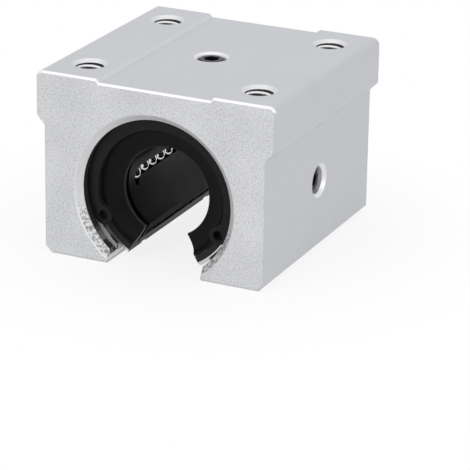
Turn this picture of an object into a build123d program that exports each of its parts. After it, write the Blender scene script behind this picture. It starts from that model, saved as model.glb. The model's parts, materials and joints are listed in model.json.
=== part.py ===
"""Open linear ball bearing block for a supported 16 mm shaft.

Frame: origin on the bore axis at mid-length, +Y along the bore, +Z up.
The face with the rings seen first is the front, at -Y. Millimetres throughout.
"""

import os
from math import cos, hypot, radians, sin, tan

from build123d import *

# Main sizes of the block
SHAFT_DIAMETER = 16.0
BLOCK_LENGTH = 45.0
FLANGE_WIDTH = 45.0
AXIS_TO_TOP = 20.0
AXIS_TO_BASE = 13.0

# Outline of the extruded housing
FLANGE_SIDE_HEIGHT = 8.2
WAIST_STEP = 1.5
TOP_CORNER_RADIUS = 1.3
END_CHAMFER = 0.35
RECESS_WIDTH = 22.0
RECESS_DEPTH = 0.6
SLOT_WIDTH = 18.0

# Tapped holes
HOLE_PITCH_X = 32.0
HOLE_PITCH_Y = 30.0
THREAD_DIAMETER = 5.0
THREAD_DEPTH = 12.0
DRILL_DIAMETER = 4.2
DRILL_RUN_OUT = 1.2
COUNTERSINK_DIAMETER = 6.2
DRILL_POINT_ANGLE = 118.0

# Seat of the bearing in the housing
BEARING_DIAMETER = 28.0
RING_INSET = 2.65
MOUTH_CHAMFER = 1.2
RING_GROOVE_DEPTH = 0.7
RING_THICKNESS = 1.2
OPENING_ANGLE = 60.0
SEAT_CLEARANCE = 0.06
SIDE_CLEARANCE = 0.05

# Steel sleeve
SLEEVE_EDGE_CHAMFER = 0.5
OUTER_GROOVE_WIDTH = 1.6
OUTER_GROOVE_DEPTH = 0.5
OUTER_GROOVE_SPAN = 26.5
DIMPLE_DIAMETER = 3.0
DIMPLE_DEPTH = 0.8
SEAL_SEAT_DIAMETER = 24.2
SEAL_THICKNESS = 2.2
STOP_RING_THICKNESS = 1.0
STOP_GROOVE_DEPTH = 0.5
LAND_WIDTH = 3.2
LAND_END_RELIEF = 0.3

# Balls and their circuits
BALL_DIAMETER = 2.778
BALL_CLEARANCE = 0.01
CHANNEL_CLEARANCE = 0.06
RETURN_LIFT = 0.85
ROW_SPREAD = 22.5
UPPER_ROW_ANGLE = 30.0
SIDE_ROW_ANGLE = 86.0
BALLS_PER_CIRCUIT = 17

# Moulded retainer
RETAINER_BORE_CLEARANCE = 0.35
RETAINER_LAND_CLEARANCE = 0.1
COLLAR_WIDTH = 1.2
TURN_WALL = 0.4

# End seals
LIP_CLEARANCE = 0.05
LIP_WIDTH = 0.35
LIP_CHAMFER = 0.15
SEAL_RIM_WIDTH = 0.6
SEAL_DISH_DEPTH = 1.15
SEAL_BACK_RELIEF = 1.0

# Inner stop rings and outer retaining rings
STOP_RING_HEIGHT = 1.65
STOP_RING_GAP_ANGLE = 74.0
RETAINING_RING_HEIGHT = 2.7
RETAINING_RING_TAPER = 0.25
LUG_ANGLE = 64.0
LUG_RADIUS = 1.65
LUG_CENTRE_RADIUS = 12.2
LUG_HOLE_DIAMETER = 1.8
LUG_FLARE_RADIUS = 1.6
LUG_TIP_RADIUS = 0.6

# Set screws
SCREW_CLEARANCE = 0.05
LOCKING_SCREW_INSET = 0.3
ADJUSTING_SCREW_INSET = 1.2
SCREW_EDGE_CHAMFER = 0.45
SOCKET_ACROSS_FLATS = 2.5
SOCKET_DEPTH = 2.2
TIP_CLEARANCE = 0.03

# Sizes that follow from the ones above
half_length = BLOCK_LENGTH / 2
bore_radius = BEARING_DIAMETER / 2
sleeve_radius = bore_radius - SEAT_CLEARANCE
ring_groove_end = half_length - RING_INSET
ring_groove_start = ring_groove_end - RING_THICKNESS - 2 * SIDE_CLEARANCE
bearing_end = ring_groove_start - SIDE_CLEARANCE
body_side = FLANGE_WIDTH / 2 - WAIST_STEP
thread_radius = THREAD_DIAMETER / 2
drill_radius = DRILL_DIAMETER / 2
drill_depth = THREAD_DEPTH + DRILL_RUN_OUT
countersink_radius = COUNTERSINK_DIAMETER / 2
recess_floor = AXIS_TO_TOP - RECESS_DEPTH
ball_radius = BALL_DIAMETER / 2
shaft_radius = SHAFT_DIAMETER / 2
loaded_radius = shaft_radius + ball_radius + BALL_CLEARANCE
return_radius = loaded_radius + RETURN_LIFT
channel_radius = ball_radius + CHANNEL_CLEARANCE
land_radius = loaded_radius + ball_radius + BALL_CLEARANCE
relief_radius = return_radius + ball_radius + 2 * CHANNEL_CLEARANCE
seal_seat_radius = SEAL_SEAT_DIAMETER / 2
stop_groove_radius = seal_seat_radius + STOP_GROOVE_DEPTH
stop_groove_inner = bearing_end - SEAL_THICKNESS - STOP_RING_THICKNESS - SIDE_CLEARANCE
retainer_end = stop_groove_inner - SIDE_CLEARANCE
lip_radius = shaft_radius + LIP_CLEARANCE

os.makedirs("parts", exist_ok=True)


def polar(radius, angle):
    """Point at a radius from the bore axis, its angle measured from straight up towards +X."""
    turn = radians(angle)
    return Vector(radius * sin(turn), 0, radius * cos(turn))


def save(piece, name):
    """Label a finished piece and write it to its own file."""
    piece.label = name
    export_step(piece, f"parts/{name}.step")


def opening_wedge(opening_angle):
    """Wedge under the axis, where the rings are open for the rail that carries the shaft."""
    reach = 2 * bore_radius
    half_width = reach * tan(radians(opening_angle / 2))
    with BuildPart() as wedge:
        with BuildSketch(Plane.XZ):
            Polygon((0, 0), (half_width, -reach), (-half_width, -reach), align=None)
        extrude(amount=BLOCK_LENGTH, both=True)
    return wedge.part


class Circuit:
    """One closed loop of balls: a loaded row, a return row and the two turns that join them."""

    def __init__(self, row_angle):
        side = 1 if row_angle > 0 else -1
        self.row_angle = row_angle
        loaded = polar(loaded_radius, row_angle)
        returning = polar(return_radius, row_angle + side * ROW_SPREAD)
        across = returning - loaded
        outward = across.cross(Vector(0, side, 0))
        self.turn_radius = across.length / 2
        self.straight = retainer_end - COLLAR_WIDTH - TURN_WALL - channel_radius - self.turn_radius
        self.plane = Plane(origin=(loaded + returning) / 2, x_dir=across, z_dir=outward)

    def path(self):
        """Centre line of the balls, drawn in the plane of the loop."""
        turn, end = self.turn_radius, self.straight
        with BuildLine(self.plane) as line:
            Line((-turn, -end), (-turn, end))
            ThreePointArc((-turn, end), (0, end + turn), (turn, end))
            Line((turn, end), (turn, -end))
            ThreePointArc((turn, -end), (0, -end - turn), (-turn, -end))
        return line.wires()[0]


# Side rows first, then the two upper rows
circuits = [
    Circuit(angle)
    for angle in (-SIDE_ROW_ANGLE, -UPPER_ROW_ANGLE, UPPER_ROW_ANGLE, SIDE_ROW_ANGLE)
]
row_end = min(circuit.straight for circuit in circuits)

# Housing: an extruded profile, bored, slotted below and tapped
with BuildPart() as housing_block:
    with BuildSketch(Plane.XZ) as outline:
        with BuildLine():
            Polyline(
                (0, AXIS_TO_TOP),
                (FLANGE_WIDTH / 2, AXIS_TO_TOP),
                (FLANGE_WIDTH / 2, AXIS_TO_TOP - FLANGE_SIDE_HEIGHT),
                (body_side, AXIS_TO_TOP - FLANGE_SIDE_HEIGHT - WAIST_STEP),
                (body_side, -AXIS_TO_BASE),
                (0, -AXIS_TO_BASE),
            )
            mirror(about=Plane.YZ)
        make_face()
        top = outline.vertices().group_by(Axis.Y)[-1]
        fillet(top, TOP_CORNER_RADIUS)
        with Locations((0, AXIS_TO_TOP)):
            Trapezoid(
                RECESS_WIDTH + 2 * RECESS_DEPTH,
                2 * RECESS_DEPTH,
                45,
                rotation=180,
                mode=Mode.SUBTRACT,
            )
    extrude(amount=half_length, both=True)
    ends = housing_block.faces().sort_by(Axis.Y)
    chamfer(ends[0].edges() + ends[-1].edges(), END_CHAMFER)

    with BuildSketch(Plane.XY):
        with BuildLine():
            Polyline(
                (0, 0),
                (bore_radius, 0),
                (bore_radius, ring_groove_start),
                (bore_radius + RING_GROOVE_DEPTH, ring_groove_start),
                (bore_radius + RING_GROOVE_DEPTH, ring_groove_end),
                (bore_radius, ring_groove_end),
                (bore_radius, half_length - MOUTH_CHAMFER),
                (bore_radius + 2 * MOUTH_CHAMFER, half_length + MOUTH_CHAMFER),
                (0, half_length + MOUTH_CHAMFER),
                close=True,
            )
        make_face()
        mirror(about=Plane.XZ)
    revolve(axis=Axis.Y, mode=Mode.SUBTRACT)
    with BuildSketch(Plane.XZ):
        Rectangle(SLOT_WIDTH, 2 * AXIS_TO_BASE, align=(Align.CENTER, Align.MAX))
    extrude(amount=BLOCK_LENGTH, both=True, mode=Mode.SUBTRACT)

    with Locations(Plane.XY.offset(AXIS_TO_TOP)):
        with GridLocations(HOLE_PITCH_X, HOLE_PITCH_Y, 2, 2):
            CounterSinkHole(thread_radius, countersink_radius, THREAD_DEPTH, 90)
            Hole(drill_radius, drill_depth)
    point_height = drill_radius / tan(radians(DRILL_POINT_ANGLE / 2))
    with Locations(Plane.XY.offset(AXIS_TO_TOP - drill_depth)):
        with GridLocations(HOLE_PITCH_X, HOLE_PITCH_Y, 2, 2):
            Cone(
                0,
                drill_radius,
                point_height,
                align=(Align.CENTER, Align.CENTER, Align.MAX),
                mode=Mode.SUBTRACT,
            )
    with Locations(Plane.XY.offset(recess_floor)):
        CounterSinkHole(thread_radius, countersink_radius, recess_floor, 90)
    with Locations(Plane.YZ.offset(body_side)):
        CounterSinkHole(thread_radius, countersink_radius, body_side, 90)
save(housing_block.part, "housing_block")

# Steel sleeve: outer grooves, seats for the inner rings and a raised land over each loaded row
with BuildPart() as bearing_sleeve:
    with BuildSketch(Plane.XY):
        with BuildLine():
            groove_end = OUTER_GROOVE_SPAN / 2
            groove_start = groove_end - OUTER_GROOVE_WIDTH
            Polyline(
                (relief_radius, 0),
                (sleeve_radius, 0),
                (sleeve_radius, groove_start),
                (sleeve_radius - OUTER_GROOVE_DEPTH, groove_start),
                (sleeve_radius - OUTER_GROOVE_DEPTH, groove_end),
                (sleeve_radius, groove_end),
                (sleeve_radius, bearing_end - SLEEVE_EDGE_CHAMFER),
                (sleeve_radius - SLEEVE_EDGE_CHAMFER, bearing_end),
                (seal_seat_radius, bearing_end),
                (seal_seat_radius, bearing_end - SEAL_THICKNESS),
                (stop_groove_radius, bearing_end - SEAL_THICKNESS),
                (stop_groove_radius, stop_groove_inner),
                (relief_radius, stop_groove_inner),
                close=True,
            )
        make_face()
        mirror(about=Plane.XZ)
    revolve(axis=Axis.Y)
    with BuildSketch(Plane.XZ):
        for circuit in circuits:
            middle = (land_radius + relief_radius) / 2
            spot = polar(middle, circuit.row_angle)
            with Locations(Location((spot.X, spot.Z, 0), (0, 0, -circuit.row_angle))):
                Rectangle(LAND_WIDTH, 2 * (relief_radius - land_radius))
        Circle((relief_radius + sleeve_radius) / 2, mode=Mode.INTERSECT)
        Circle(land_radius, mode=Mode.SUBTRACT)
    extrude(amount=row_end - LAND_END_RELIEF, both=True)
    for seat in (Plane.XY.offset(sleeve_radius), Plane.YZ.offset(sleeve_radius)):
        with Locations(seat):
            Hole(DIMPLE_DIAMETER / 2, DIMPLE_DEPTH)
    add(opening_wedge(OPENING_ANGLE), mode=Mode.SUBTRACT)
save(bearing_sleeve.part, "bearing_sleeve")

# Retainer: a thin moulded cage whose channels guide the balls round their loops
with BuildPart() as ball_retainer:
    retainer_bore = shaft_radius + RETAINER_BORE_CLEARANCE
    retainer_outer = land_radius - RETAINER_LAND_CLEARANCE
    with BuildSketch(Plane.XZ):
        Circle(retainer_outer)
        Circle(retainer_bore, mode=Mode.SUBTRACT)
    extrude(amount=retainer_end, both=True)
    for side in (-1, 1):
        with BuildSketch(Plane.XZ.offset(side * retainer_end)):
            Circle(relief_radius - SIDE_CLEARANCE)
            Circle(retainer_bore, mode=Mode.SUBTRACT)
        extrude(amount=-side * COLLAR_WIDTH)
    for circuit in circuits:
        path = circuit.path()
        with BuildSketch(Plane(origin=path @ 0, z_dir=path % 0)):
            Circle(channel_radius)
        sweep(path=path, mode=Mode.SUBTRACT)
        with BuildSketch(circuit.plane):
            SlotCenterToCenter(
                2 * circuit.straight, 2 * (circuit.turn_radius + channel_radius), rotation=90
            )
            SlotCenterToCenter(
                2 * circuit.straight,
                2 * (circuit.turn_radius - channel_radius),
                rotation=90,
                mode=Mode.SUBTRACT,
            )
        extrude(amount=bore_radius - loaded_radius, mode=Mode.SUBTRACT)
    add(opening_wedge(OPENING_ANGLE), mode=Mode.SUBTRACT)
save(ball_retainer.part, "ball_retainer")

# Balls: evenly spaced round each loop
for circuit, place in zip(circuits, ("left_side", "left_top", "right_top", "right_side")):
    path = circuit.path()
    centres = [path @ (count / BALLS_PER_CIRCUIT) for count in range(BALLS_PER_CIRCUIT)]
    with BuildPart() as ball_circuit:
        with Locations(*centres):
            Sphere(ball_radius)
    save(ball_circuit.part, f"ball_circuit_{place}")

# The rings and seals are alike at both ends: front at -Y, rear at +Y
for side, end in ((-1, "front"), (1, "rear")):
    with BuildPart() as end_seal:
        face = side * bearing_end
        lip_start = face - side * SEAL_DISH_DEPTH
        lip_end = lip_start - side * (LIP_CHAMFER + LIP_WIDTH)
        back = face - side * SEAL_THICKNESS
        rim_radius = seal_seat_radius - SEAL_RIM_WIDTH
        with BuildSketch(Plane.XY):
            with BuildLine():
                Polyline(
                    (lip_radius + LIP_CHAMFER, lip_start),
                    (lip_radius, lip_start - side * LIP_CHAMFER),
                    (lip_radius, lip_end),
                    (lip_radius + SEAL_BACK_RELIEF, back),
                    (seal_seat_radius - SEAT_CLEARANCE, back),
                    (seal_seat_radius - SEAT_CLEARANCE, face),
                    (rim_radius, face),
                )
                Spline(
                    (rim_radius, face),
                    (lip_radius + LIP_CHAMFER, lip_start),
                    tangents=((-0.4, -side), (-1, side * 0.12)),
                )
            make_face()
        revolve(axis=Axis.Y)
        add(opening_wedge(OPENING_ANGLE), mode=Mode.SUBTRACT)
    save(end_seal.part, f"end_seal_{end}")

    with BuildPart() as stop_ring:
        inner_face = side * (stop_groove_inner + SIDE_CLEARANCE / 2)
        with BuildSketch(Plane.XZ.offset(-inner_face)):
            Circle(stop_groove_radius - SIDE_CLEARANCE)
            Circle(stop_groove_radius - STOP_RING_HEIGHT, mode=Mode.SUBTRACT)
        extrude(amount=-side * STOP_RING_THICKNESS)
        add(opening_wedge(STOP_RING_GAP_ANGLE), mode=Mode.SUBTRACT)
    save(stop_ring.part, f"stop_ring_{end}")

    with BuildPart() as retaining_ring:
        ring_outer = bore_radius + RING_GROOVE_DEPTH - SIDE_CLEARANCE
        ring_face = side * (ring_groove_start + SIDE_CLEARANCE)
        with BuildSketch(Plane.XZ.offset(-ring_face)) as ring:
            Circle(ring_outer)
            with Locations((0, -RETAINING_RING_TAPER)):
                Circle(ring_outer - RETAINING_RING_HEIGHT, mode=Mode.SUBTRACT)
            reach = 2 * ring_outer
            gap = reach * tan(radians(LUG_ANGLE))
            Polygon((0, 0), (gap, -reach), (-gap, -reach), align=None, mode=Mode.SUBTRACT)
            lugs = [polar(LUG_CENTRE_RADIUS, 180 + turn) for turn in (-LUG_ANGLE, LUG_ANGLE)]
            with Locations(*[(spot.X, spot.Z) for spot in lugs]):
                Circle(LUG_RADIUS)
            tips = ring.vertices().group_by(lambda corner: round(hypot(corner.X, corner.Y), 3))[-1]
            fillet(tips, LUG_TIP_RADIUS)
            inner = ring.vertices().filter_by(lambda corner: hypot(corner.X, corner.Y) < LUG_CENTRE_RADIUS)
            fillet(inner, LUG_FLARE_RADIUS)
            with Locations(*[(spot.X, spot.Z) for spot in lugs]):
                Circle(LUG_HOLE_DIAMETER / 2, mode=Mode.SUBTRACT)
        extrude(amount=-side * RING_THICKNESS)
    save(retaining_ring.part, f"retaining_ring_{end}")

# Set screws: one from the top and one from the side, each with its point in a dimple
screws = (
    ("locking_set_screw", Plane.XY, recess_floor - LOCKING_SCREW_INSET),
    ("adjusting_set_screw", Plane.YZ, body_side - ADJUSTING_SCREW_INSET),
)
for name, axis_plane, head_height in screws:
    seat = axis_plane.offset(bore_radius)
    head = axis_plane.offset(head_height)
    tip_height = bore_radius - sleeve_radius + DIMPLE_DEPTH - TIP_CLEARANCE
    with BuildPart() as set_screw:
        with BuildSketch(seat):
            Circle(thread_radius - SCREW_CLEARANCE)
        extrude(amount=head_height - bore_radius)
        rims = set_screw.edges().filter_by(GeomType.CIRCLE)
        chamfer(rims, SCREW_EDGE_CHAMFER)
        with BuildSketch(seat):
            Circle(DIMPLE_DIAMETER / 2 - SIDE_CLEARANCE)
        extrude(amount=-tip_height)
        with BuildSketch(head):
            RegularPolygon(SOCKET_ACROSS_FLATS / 2, 6, major_radius=False)
        extrude(amount=-SOCKET_DEPTH, mode=Mode.SUBTRACT)
    save(set_screw.part, name)
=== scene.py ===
"""Looks of the open linear ball bearing block.

Finishes of its pieces, the softened corners of its housing, the threads of its
mounting holes, the studio and the camera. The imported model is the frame. Lengths are
metres, in its frame: origin on the bore axis at mid-length, +Y along the bore, +Z
out of the tapped face, front rings at -Y. Finishes count in millimetres.
"""

import json
from math import radians

import bmesh
import bpy
from mathutils import Matrix, Vector


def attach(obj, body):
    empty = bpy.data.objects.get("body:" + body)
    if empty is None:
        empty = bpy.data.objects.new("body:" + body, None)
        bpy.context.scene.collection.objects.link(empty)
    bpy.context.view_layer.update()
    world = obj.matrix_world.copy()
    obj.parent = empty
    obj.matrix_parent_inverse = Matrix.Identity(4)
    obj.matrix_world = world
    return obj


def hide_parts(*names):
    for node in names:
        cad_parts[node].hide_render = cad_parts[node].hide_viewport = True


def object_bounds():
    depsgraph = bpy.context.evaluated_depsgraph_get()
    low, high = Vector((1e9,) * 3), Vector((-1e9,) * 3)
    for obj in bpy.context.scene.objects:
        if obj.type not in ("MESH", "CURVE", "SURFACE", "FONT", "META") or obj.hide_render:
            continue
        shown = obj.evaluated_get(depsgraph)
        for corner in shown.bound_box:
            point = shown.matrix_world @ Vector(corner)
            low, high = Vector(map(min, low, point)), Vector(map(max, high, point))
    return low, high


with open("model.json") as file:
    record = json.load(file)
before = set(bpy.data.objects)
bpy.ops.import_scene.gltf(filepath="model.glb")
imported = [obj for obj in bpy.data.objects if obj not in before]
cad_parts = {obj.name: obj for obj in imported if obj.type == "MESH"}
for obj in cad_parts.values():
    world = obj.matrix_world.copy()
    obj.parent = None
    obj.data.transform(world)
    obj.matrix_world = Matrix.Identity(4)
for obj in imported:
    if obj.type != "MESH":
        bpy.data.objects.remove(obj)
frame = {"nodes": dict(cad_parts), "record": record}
cad_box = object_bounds()

MM = 0.001


def plug(tree, socket, value):
    """Link a socket to a value, or set it."""
    if isinstance(value, Value):
        value = value.socket
    if isinstance(value, bpy.types.NodeSocket):
        tree.links.new(value, socket)
    else:
        socket.default_value = value


def wire(tree, kind, sockets=None, **settings):
    """Make any shader node: its settings first, then the values or links of its sockets."""
    made = tree.nodes.new("ShaderNode" + kind)
    for name, value in settings.items():
        setattr(made, name, value)
    for name, value in (sockets or {}).items():
        plug(tree, made.inputs[name], value)
    return made


class Value:
    """A number socket that builds Math nodes from Python's own operators."""

    def __init__(self, tree, socket):
        self.tree = tree
        self.socket = socket

    def _math(self, operation, *values):
        made = wire(self.tree, "Math", dict(enumerate(values)), operation=operation)
        return Value(self.tree, made.outputs[0])

    def __add__(self, other):
        return self._math("ADD", self, other)

    def __sub__(self, other):
        return self._math("SUBTRACT", self, other)

    def __rsub__(self, other):
        return self._math("SUBTRACT", other, self)

    def __mul__(self, other):
        return self._math("MULTIPLY", self, other)

    def __truediv__(self, other):
        return self._math("DIVIDE", self, other)

    def __pow__(self, other):
        return self._math("POWER", self, other)

    def __lt__(self, other):
        return self._math("LESS_THAN", self, other)

    def __gt__(self, other):
        return self._math("GREATER_THAN", self, other)

    def __abs__(self):
        return self._math("ABSOLUTE", self)

    __radd__ = __add__
    __rmul__ = __mul__

    def root(self):
        return self._math("SQRT", self)

    def most(self, other):
        return self._math("MAXIMUM", self, other)

    def ramp(self, low, high):
        """Smooth step from 0 to 1 between two values of this one."""
        sockets = {"Value": self, "From Min": low, "From Max": high}
        made = wire(self.tree, "MapRange", sockets, interpolation_type="SMOOTHSTEP")
        return Value(self.tree, made.outputs[0])


class Finish:
    """One material: its node tree, its principled shader and the maths that feeds them."""

    def __init__(self, name, colour, rough, metal=0.0, **constants):
        self.material = bpy.data.materials.new(name)
        self.material.use_nodes = True
        self.material.diffuse_color = (*colour, 1.0)
        self.tree = self.material.node_tree
        self.shader = self.tree.nodes["Principled BSDF"]
        self.set(Base_Color=(*colour, 1.0), Roughness=rough, Metallic=metal, **constants)

    def set(self, **sockets):
        """Set or link sockets of the shader, named with _ for each space."""
        for name, value in sockets.items():
            plug(self.tree, self.shader.inputs[name.replace("_", " ")], value)

    def node(self, kind, sockets=None, **settings):
        return wire(self.tree, kind, sockets, **settings)

    def place(self):
        """Object coordinates as a vector socket."""
        return self.node("TexCoord").outputs["Object"]

    def axes(self):
        """Object coordinates X, Y and Z as values, in millimetres."""
        parts = self.node("SeparateXYZ", {"Vector": self.place()}).outputs
        return [Value(self.tree, part) / MM for part in parts]

    def facing(self):
        """Components of the surface normal, X, Y and Z."""
        normal = self.node("NewGeometry").outputs["True Normal"]
        parts = self.node("SeparateXYZ", {"Vector": normal}).outputs
        return [Value(self.tree, part) for part in parts]

    def noise(self, scale, detail=3.0, rough=0.5, stretch=(1, 1, 1)):
        """Noise whose scale counts features per millimetre along each axis."""
        sizes = [count / MM for count in stretch]
        vector = self.node("Mapping", {"Vector": self.place(), "Scale": sizes}).outputs[0]
        sockets = {"Vector": vector, "Scale": scale, "Detail": detail, "Roughness": rough}
        return Value(self.tree, self.node("TexNoise", sockets).outputs[0])

    def spots(self, scale):
        """Distance to the nearest of many scattered points, as many as scale per millimetre."""
        vector = self.node("Mapping", {"Vector": self.place(), "Scale": [1 / MM] * 3}).outputs[0]
        made = self.node("TexVoronoi", {"Vector": vector, "Scale": scale})
        return Value(self.tree, made.outputs["Distance"])

    def blend(self, factor, low, high):
        """Colour between two colours."""
        low, high = ((*end, 1.0) if isinstance(end, tuple) else end for end in (low, high))
        sockets = {"Factor": factor, "A": low, "B": high}
        return self.node("Mix", sockets, data_type="RGBA").outputs["Result"]

    def parting(self):
        """1 on the two faces that bound the opening of the rings, 30 degrees from straight down."""
        across, _, up = self.facing()
        across = abs(across)
        return across.ramp(0.80, 0.84) * (1 - across.ramp(0.89, 0.93)) * (up < -0.4)

    def relief(self, height, strength, depth):
        """Bump from a height value; depth is the height of 1, in metres."""
        made = self.node("Bump", {"Height": height, "Strength": strength, "Distance": depth})
        self.set(Normal=made.outputs[0])


# Finishes, whose places on the block are in millimetres

HOLE_PLACE = (16.0, 15.0)
HOLE_REACH = 2.7
HOLE_ZONE = (5.0, 19.4)
SINK_REACH = 3.2
CREST_RADII = (2.28, 2.46)
CREST_LIT = (16.6, 18.2)
SCREW_REACH_SQUARED = 9.6
SCREW_MOUTHS = (19.0, 19.8)
RECESS_WALL = 11.3
RECESS_BAND = 1.0
END_ZONE = 22.0
END_EDGE_RADIUS = 17.0
MACHINED_RADIUS = 15.5
MOUTH_RADII = (14.95, 15.1)
RING_SEAT_RADIUS = 14.8
RING_SEAT_SPAN = (18.0, 21.2)
SCORED_HEIGHTS = (-6.0, -1.0)
END_SHADE_START = 18.0
END_SHADE_RADII = (13.15, 13.25)
LIP_RADII = (8.12, 8.3)


def anodised_aluminium():
    """Satin skin of the extrusion, speckled blasted end faces, machined bore and edges, and painted
    highlights and painted shade.
    """
    finish = Finish("anodised_aluminium", (0.56, 0.57, 0.59), 0.42, metal=0.35)
    x, y, z = finish.axes()
    normal_x, normal_y, normal_z = finish.facing()
    normal_y = abs(normal_y)
    radius = (x * x + z * z).root()
    end_face = normal_y.ramp(0.93, 0.99)
    # Edges near the ends that face upwards: machined, so more metallic and smoother, and given a
    # painted highlight in their colour
    edge = normal_y.ramp(0.35, 0.6) * (1 - normal_y.ramp(0.8, 0.9)) * (abs(y) > END_ZONE)
    edge = edge * normal_z.ramp(0.2, 0.5) * (radius > END_EDGE_RADIUS)
    from_hole = ((abs(x) - HOLE_PLACE[0]) ** 2 + (abs(y) - HOLE_PLACE[1]) ** 2).root()
    slope = normal_z.ramp(0.5, 0.65) * (1 - normal_z.ramp(0.75, 0.9))
    in_hole = (from_hole < HOLE_REACH) * (z > HOLE_ZONE[0]) * (z < HOLE_ZONE[1])
    # Painted highlight on the thread crests near the mouth of the tapped holes
    crest = in_hole * (1 - from_hole.ramp(*CREST_RADII)) * z.ramp(*CREST_LIT)
    # Painted highlight on the walls of the two set screw holes
    top_screw = (x * x + y * y < SCREW_REACH_SQUARED) * (z > SCREW_MOUTHS[0])
    side_screw = (y * y + z * z < SCREW_REACH_SQUARED) * (x > SCREW_MOUTHS[1])
    screw_wall = 1 - abs(normal_x).most(normal_z).ramp(0.8, 0.95)
    screw_hole = top_screw.most(side_screw) * screw_wall
    # Painted highlight on the upward-sloping faces of the countersinks and the recess step
    recess_wall = abs(abs(x) - RECESS_WALL) < RECESS_BAND
    sunk = slope * ((from_hole < SINK_REACH) * 0.6).most(recess_wall * 0.25)
    painted_highlight = edge.most(crest).most(sunk).most(screw_hole * 0.9)
    machined = (radius < MACHINED_RADIUS) * (1 - end_face)
    # Painted shade in the ring seats, where the retaining rings sit
    ring_seat = (radius < RING_SEAT_RADIUS) * (abs(y) > RING_SEAT_SPAN[0])
    ring_seat = ring_seat * (abs(y) < RING_SEAT_SPAN[1])
    cloud = finish.noise(0.12, detail=4.0)
    lines = finish.noise(1.0, detail=2.0, stretch=(5.0, 0.06, 5.0))
    turned = finish.noise(1.0, detail=2.0, stretch=(0.5, 9.0, 0.5))
    grit = finish.noise(3.2, detail=3.0, rough=0.7)
    pits = finish.spots(1.7)
    speckle = (grit - 0.5) * 2.2 + (pits.ramp(0.0, 0.4) - 1.0) * 0.4 + (cloud - 0.5) * 0.6
    skin = finish.blend(cloud * 0.5 + lines * 0.5, (0.52, 0.53, 0.56), (0.62, 0.63, 0.66))
    blasted = finish.blend(speckle + 0.6, (0.50, 0.505, 0.52), (0.84, 0.845, 0.86))
    torn = finish.noise(2.0, detail=3.0, rough=0.7)
    scored = (1 - z.ramp(*SCORED_HEIGHTS)) * torn.ramp(0.42, 0.6)
    cut = finish.blend(turned, (0.64, 0.645, 0.66), (0.84, 0.845, 0.86))
    cut = finish.blend(scored * 0.8, cut, (0.16, 0.16, 0.165))
    # Painted shade in the ring seats, near black and less metallic
    cut = finish.blend(ring_seat, cut, (0.03, 0.03, 0.03))
    colour = finish.blend(end_face, skin, blasted)
    colour = finish.blend(machined, colour, cut)
    mouth = machined * radius.ramp(*MOUTH_RADII)
    colour = finish.blend(mouth, colour, (0.84, 0.84, 0.84))
    # Painted highlights: upward edges, thread crests, countersinks, the recess step and the screw
    # hole walls
    colour = finish.blend(painted_highlight, colour, (0.88, 0.88, 0.89))
    # Painted shade in the tapped holes, everywhere but the lit crests
    colour = finish.blend(in_hole - crest, colour, (0.03, 0.03, 0.032))
    metal = 0.35 + machined * 0.15 + edge * 0.25 - end_face * 0.1
    finish.set(
        Base_Color=colour,
        Roughness=0.40 + cloud * 0.06 + end_face * 0.16 + machined * 0.02 - edge * 0.12,
        Metallic=metal - machined * ring_seat * 0.4,
    )
    pitted = grit + pits.ramp(0.0, 0.35) * 0.6
    texture = end_face * pitted + (1 - end_face) * lines * 0.25 + machined * turned * 0.5
    finish.relief(texture, 0.4, 0.04 * MM)
    return finish


def ground_steel():
    """Ground bearing steel with fine turning marks, dark where it is cut open, and with painted
    shade on the inner part of its ends.
    """
    finish = Finish("ground_steel", (0.62, 0.62, 0.63), 0.2, metal=1.0, Specular_IOR_Level=0.2)
    x, y, z = finish.axes()
    radius = (x * x + z * z).root()
    # Painted shade on the ends of the sleeve, inside the rim of the seal
    painted_end_shade = (abs(y) > END_SHADE_START) * (1 - radius.ramp(*END_SHADE_RADII))
    dark = finish.parting().most(painted_end_shade)
    marks = finish.noise(1.0, detail=3.0, stretch=(0.4, 14.0, 0.4))
    ground = finish.blend(marks, (0.52, 0.52, 0.525), (0.70, 0.70, 0.71))
    finish.set(
        Base_Color=finish.blend(dark, ground, (0.02, 0.02, 0.021)),
        Roughness=0.16 + marks * 0.14 + dark * 0.3,
        Metallic=1 - dark * 0.85,
    )
    finish.relief(marks, 0.15, 0.01 * MM)
    return finish


def ball_steel():
    """Polished balls under an uneven film of oil."""
    finish = Finish("ball_steel", (0.90, 0.90, 0.91), 0.06, metal=1.0)
    film = finish.noise(1.3, detail=2.0)
    finish.set(
        Base_Color=finish.blend(film, (0.58, 0.58, 0.59), (0.74, 0.74, 0.75)),
        Roughness=0.05 + film * 0.08,
    )
    return finish


def moulded_resin():
    """Smooth black moulding of the ball retainer."""
    finish = Finish("moulded_resin", (0.006, 0.006, 0.007), 0.3, Specular_IOR_Level=0.08)
    cloud = finish.noise(0.35, detail=3.0)
    grain = finish.noise(9.0, detail=2.0)
    finish.set(
        Base_Color=finish.blend(cloud, (0.003, 0.003, 0.004), (0.009, 0.009, 0.011)),
        Roughness=0.20 + cloud * 0.28 + finish.parting() * 0.4,
    )
    finish.relief(grain, 0.1, 0.01 * MM)
    return finish


def seal_rubber():
    """Moulded rubber with a matt, faintly mottled skin and a smoother lip painted lighter as a
    highlight.
    """
    finish = Finish("seal_rubber", (0.005, 0.005, 0.005), 0.5, Specular_IOR_Level=0.1)
    x, _, z = finish.axes()
    # The lip's lighter colour is a painted highlight; its lower roughness is wear
    lip = 1 - (x * x + z * z).root().ramp(*LIP_RADII)
    cloud = finish.noise(0.6, detail=4.0)
    grain = finish.noise(7.0, detail=3.0)
    skin = finish.blend(cloud, (0.002, 0.002, 0.002), (0.007, 0.007, 0.007))
    finish.set(
        Base_Color=finish.blend(lip, skin, (0.03, 0.03, 0.031)),
        Roughness=0.36 + grain * 0.2 - lip * 0.1,
    )
    finish.relief(grain, 0.2, 0.015 * MM)
    return finish


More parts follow.
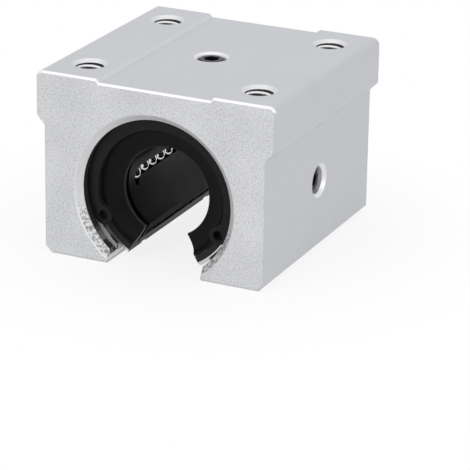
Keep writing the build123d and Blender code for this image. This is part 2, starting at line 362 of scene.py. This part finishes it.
def black_ring():
    """Phosphated spring steel: near black on its faces, lighter on the edge faces cut by shearing,
    partly bare steel and partly a painted highlight.
    """
    base = (0.012, 0.012, 0.015)
    finish = Finish("phosphated_ring", base, 0.38, metal=0.3, Specular_IOR_Level=0.2)
    # Edge faces: partly bare steel, partly a painted highlight in their colour
    cut_edge_and_highlight = 1 - abs(finish.facing()[1]).ramp(0.3, 0.6)
    cloud = finish.noise(0.8, detail=5.0)
    grain = finish.noise(8.0, detail=2.0)
    flat = finish.blend(cloud, (0.004, 0.004, 0.005), (0.013, 0.013, 0.015))
    finish.set(
        Base_Color=finish.blend(cut_edge_and_highlight, flat, (0.06, 0.06, 0.063)),
        Roughness=0.28 + grain * 0.18,
        Metallic=0.3 + cut_edge_and_highlight * 0.4,
    )
    finish.relief(grain, 0.2, 0.012 * MM)
    return finish


def black_screw():
    """Black oxide set screw."""
    base = (0.015, 0.015, 0.016)
    finish = Finish("black_oxide_screw", base, 0.35, metal=0.5, Specular_IOR_Level=0.25)
    cloud = finish.noise(1.2, detail=3.0)
    finish.set(
        Base_Color=finish.blend(cloud, (0.008, 0.008, 0.009), (0.025, 0.025, 0.027)),
        Roughness=0.28 + cloud * 0.15,
    )
    return finish


finishes = {
    "housing_aluminium": anodised_aluminium(),
    "bearing_steel": ground_steel(),
    "ball_steel": ball_steel(),
    "retainer_resin": moulded_resin(),
    "seal_rubber": seal_rubber(),
    "ring_steel": black_ring(),
    "screw_steel": black_screw(),
}
for sub_part in frame["record"]["subparts"]:
    for slot in frame["nodes"][sub_part["node"]].material_slots:
        slot.material = finishes[sub_part["material_slot"]].material


def made_piece(name, shape, material):
    """Object of one material made from a bmesh, which is then freed."""
    mesh = bpy.data.meshes.new(name)
    shape.to_mesh(mesh)
    shape.free()
    piece = bpy.data.objects.new(name, mesh)
    bpy.context.scene.collection.objects.link(piece)
    piece.data.materials.append(material)
    return piece


# Corners of the extrusion, which the solid leaves sharp

SIDE_X = 21.0 * MM
FLANGE_X = 22.5 * MM
WAIST_Z = 10.3 * MM
FLANGE_Z = 11.8 * MM
BASE_Z = -13.0 * MM
END_Y = 22.5 * MM
END_CHAMFER = 0.35 * MM
BASE_CHAMFER = 1.2 * MM
FLANGE_SETBACK = 0.33 * MM
WAIST_SETBACK = 0.25 * MM
ROUND_STEPS = 4
CORNER_REACH = 2.1 * END_CHAMFER
SHORT_EDGE = 0.9 * END_CHAMFER
MERGE_DISTANCE = 0.001 * MM
CUT_TOLERANCE = 0.0001 * MM
FLAT_ANGLE = radians(0.2)
SHARP_ANGLE = radians(25)
FLAT_AREA = 60.0 * MM * MM


def plane_cut(shape, point, normal):
    """Cut away what lies beyond a plane and close the cut."""
    cut = bmesh.ops.bisect_plane(
        shape,
        geom=shape.verts[:] + shape.edges[:] + shape.faces[:],
        dist=CUT_TOLERANCE,
        plane_co=point,
        plane_no=normal,
        clear_outer=True,
    )
    rim = [item for item in cut["geom_cut"] if isinstance(item, bmesh.types.BMEdge)]
    bmesh.ops.contextual_create(shape, geom=rim)


def soften(shape, x, z, setback):
    """Round the edges along the bore at one corner of the outline, left and right.

    The setback is how far from the corner each rounding starts.
    """
    chain = [
        edge for edge in shape.edges
        if all(abs(abs(v.co.x) - x) + abs(v.co.z - z) < CORNER_REACH for v in edge.verts)
        and abs(edge.verts[0].co.y - edge.verts[1].co.y) > SHORT_EDGE
    ]
    bmesh.ops.bevel(
        shape,
        geom=chain,
        offset=setback,
        segments=ROUND_STEPS,
        profile=0.5,
        affect="EDGES",
        clamp_overlap=True,
        material=-1,
    )


def softened_block():
    """Housing with chamfered lower corners and rounded corners at the flange."""
    solid = frame["nodes"]["housing_block"]
    shape = bmesh.new()
    shape.from_mesh(solid.data)
    bmesh.ops.remove_doubles(shape, verts=shape.verts, dist=MERGE_DISTANCE)
    bmesh.ops.dissolve_limit(
        shape, angle_limit=FLAT_ANGLE, verts=shape.verts, edges=shape.edges
    )
    soften(shape, FLANGE_X, FLANGE_Z, FLANGE_SETBACK)
    soften(shape, SIDE_X, WAIST_Z, WAIST_SETBACK)
    for side in (-1, 1):
        corner_x = side * (SIDE_X - BASE_CHAMFER)
        plane_cut(shape, (corner_x, 0.0, BASE_Z), (side, 0.0, -1.0))
        # The end chamfer goes on along the chamfered corner
        for end in (-1, 1):
            corner = (corner_x, end * (END_Y - END_CHAMFER), BASE_Z)
            plane_cut(shape, corner, (side, end * 2.0 ** 0.5, -1.0))
    # The roundings overshoot the sides of the flange by some microns
    for vertex in shape.verts:
        vertex.co.x = max(-FLANGE_X, min(FLANGE_X, vertex.co.x))
    for face in shape.faces:
        face.smooth = True
    # Large flat faces would shade in streaks across a smooth edge
    for edge in shape.edges:
        flat = max(face.calc_area() for face in edge.link_faces) > FLAT_AREA
        edge.smooth = edge.calc_face_angle(0.0) < SHARP_ANGLE and not flat
    block = made_piece("housing_softened", shape, finishes["housing_aluminium"].material)
    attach(block, "block")
    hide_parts("housing_block")


softened_block()


# Threads of the four mounting holes

HOLE_X = HOLE_PLACE[0] * MM
HOLE_Y = HOLE_PLACE[1] * MM
THREAD_RADIUS = 2.5 * MM
THREAD_PITCH = 0.8 * MM
THREAD_HEIGHT = 0.4 * MM
THREAD_ROOT_OVERLAP = 0.02 * MM
ROOT_LIFT = 0.44
CREST_LIFT = 0.06
THREAD_TOP = 19.2 * MM
THREAD_BOTTOM = 8.93 * MM
TURN_STEPS = 32


def hole_thread(name, x, y):
    """Helical ridge on the wall of a tapped hole."""
    root = THREAD_RADIUS + THREAD_ROOT_OVERLAP
    crest = THREAD_RADIUS - THREAD_HEIGHT
    section = (
        (root, -ROOT_LIFT),
        (crest, -CREST_LIFT),
        (crest, CREST_LIFT),
        (root, ROOT_LIFT),
    )
    turns = (THREAD_TOP - THREAD_BOTTOM) / THREAD_PITCH
    steps = round(turns * TURN_STEPS)
    shape = bmesh.new()
    corners = [
        shape.verts.new((x + radius, y, THREAD_BOTTOM + lift * THREAD_PITCH))
        for radius, lift in section
    ]
    face = shape.faces.new(corners)
    bmesh.ops.spin(
        shape,
        geom=[face],
        cent=(x, y, 0),
        axis=(0, 0, 1),
        dvec=(0, 0, THREAD_PITCH * turns / steps),
        angle=radians(360.0 * turns),
        steps=steps,
        use_duplicate=False,
    )
    bmesh.ops.recalc_face_normals(shape, faces=shape.faces)
    thread = made_piece(name, shape, finishes["housing_aluminium"].material)
    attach(thread, "block")


for side, x in (("left", -HOLE_X), ("right", HOLE_X)):
    for end, y in (("front", -HOLE_Y), ("rear", HOLE_Y)):
        hole_thread(f"thread_{end}_{side}", x, y)


# Studio

FLOOR_REACH = 3.0
FLOOR_FADE = (24.0, 60.0)
FLOOR_NEAR = 0.84
WORLD_LIGHT = 0.5


def seen_directly(tree):
    """1 for what the camera sees, also in a reflection or through glass, and 0 for light."""
    paths = wire(tree, "LightPath").outputs
    total = Value(tree, paths["Is Camera Ray"])
    for kind in ("Is Glossy Ray", "Is Transmission Ray"):
        total = total.most(Value(tree, paths[kind]))
    return total


def studio_floor():
    """Pale floor that fades to the white background away from the block."""
    shape = bmesh.new()
    bmesh.ops.create_grid(shape, x_segments=1, y_segments=1, size=FLOOR_REACH)
    bmesh.ops.translate(shape, verts=shape.verts, vec=(0, 0, cad_box[0][2]))
    finish = Finish("floor_paper", (0.93, 0.93, 0.93), 0.8)
    x, y, _ = finish.axes()
    away = (x * x + y * y).root().ramp(*FLOOR_FADE)
    white = finish.node("Emission", {"Color": (1, 1, 1, 1), "Strength": 1.0})
    seen = seen_directly(finish.tree) * (FLOOR_NEAR + away * (1 - FLOOR_NEAR))
    shaders = {0: seen, 1: finish.shader.outputs[0], 2: white.outputs[0]}
    mixed = finish.node("MixShader", shaders)
    plug(finish.tree, finish.tree.nodes["Material Output"].inputs[0], mixed.outputs[0])
    floor = made_piece("floor", shape, finish.material)


def studio_world():
    """White to the camera and in reflections, a softer grey as light."""
    world = bpy.data.worlds.new("studio")
    bpy.context.scene.world = world
    world.use_nodes = True
    background = world.node_tree.nodes["Background"]
    background.inputs["Color"].default_value = (1, 1, 1, 1)
    strength = WORLD_LIGHT + seen_directly(world.node_tree) * (1 - WORLD_LIGHT)
    plug(world.node_tree, background.inputs["Strength"], strength)


def area_light(name, place, size, power):
    """Soft rectangular lamp aimed at the middle of the bore."""
    lamp = bpy.data.lights.new(name, "AREA")
    lamp.shape = "RECTANGLE"
    lamp.size, lamp.size_y = size
    lamp.energy = power
    holder = bpy.data.objects.new(name, lamp)
    bpy.context.scene.collection.objects.link(holder)
    holder.location = place
    holder.rotation_euler = (-Vector(place)).to_track_quat("-Z", "Y").to_euler()


def photo_camera():
    """Camera fitted to the edges of the block in the photograph."""
    place = Vector((194.3, -409.6, 159.6)) * MM
    target = Vector((6.08, -2.25, -11.99)) * MM
    roll = radians(0.94)
    lens = bpy.data.cameras.new("camera")
    lens.sensor_width = 36.0
    lens.lens = 208.2
    lens.clip_start = 0.01
    camera = bpy.data.objects.new("camera", lens)
    bpy.context.scene.collection.objects.link(camera)
    turn = (target - place).to_track_quat("-Z", "Y").to_matrix()
    turn = (turn @ Matrix.Rotation(roll, 3, "Z")).to_4x4()
    camera.matrix_world = Matrix.Translation(place) @ turn
    bpy.context.scene.camera = camera


studio_floor()
studio_world()
area_light("key", (-0.25, -0.55, 0.5), (0.5, 0.4), 1.5)
area_light("side", (0.6, -0.15, 0.25), (0.4, 0.4), 0.9)
area_light("top", (0.0, 0.1, 0.7), (0.6, 0.6), 0.9)
photo_camera()
bpy.context.scene.view_settings.view_transform = "Standard"
